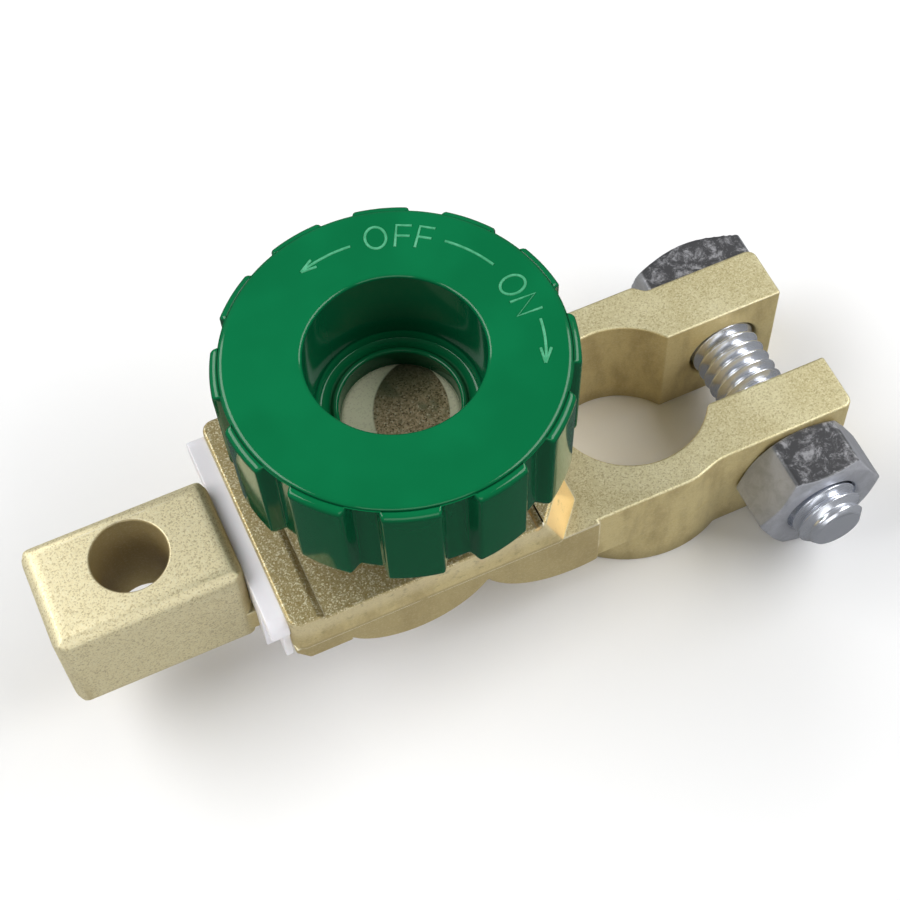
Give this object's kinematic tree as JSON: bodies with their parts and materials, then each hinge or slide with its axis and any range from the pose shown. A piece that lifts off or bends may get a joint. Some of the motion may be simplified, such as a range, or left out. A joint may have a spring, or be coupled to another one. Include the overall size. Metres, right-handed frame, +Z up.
{
  "type": "battery disconnect switch",
  "caption": "Brass top-post battery clamp with an insulated cable terminal block and a round screw-down knob that joins or parts the two.",
  "frame": {"origin": "centre of the post bore on the foot of its collar", "axes": "+X from the post bore towards the jaw ends, +Z up along the post bore and the knob's axis, +Y towards the bolt's head"},
  "size_m": [0.0887, 0.0384, 0.0402],
  "materials": {
    "cast_brass": "pale cast brass with a fine sandy speckle and brighter worn edges",
    "turned_brass": "turned and sanded brass, slightly dull",
    "insulator": "white moulded nylon, slightly satin",
    "knob_plastic": "glossy green moulded plastic",
    "plated_steel": "bright zinc plate with mottled flats"
  },
  "bodies": {
    "body": {"clamp_casting": "cast_brass", "cable_terminal": "cast_brass", "insulator_sleeve": "insulator", "insulator_cover": "insulator", "clamp_bolt": "plated_steel", "clamp_nut": "plated_steel"},
    "washer": {"contact_washer": "turned_brass"},
    "knob": {"knob": "knob_plastic", "contact_stud": "turned_brass"}
  },
  "joints": [
    {"name": "washer_lift", "type": "slide", "parent": "body", "child": "washer", "axis": [0, 0, 1], "range_m": [-0.006, 0]},
    {"name": "knob_turn", "type": "hinge", "parent": "washer", "child": "knob", "pos_m": [-0.026, 0, 0.0254], "axis": [0, 0, 1], "range_deg": [-1440, 0]}
  ],
  "couplings": [
    {"joint": "washer_lift", "follows": "knob_turn", "m_per_rad": 0.00023873}
  ]
}
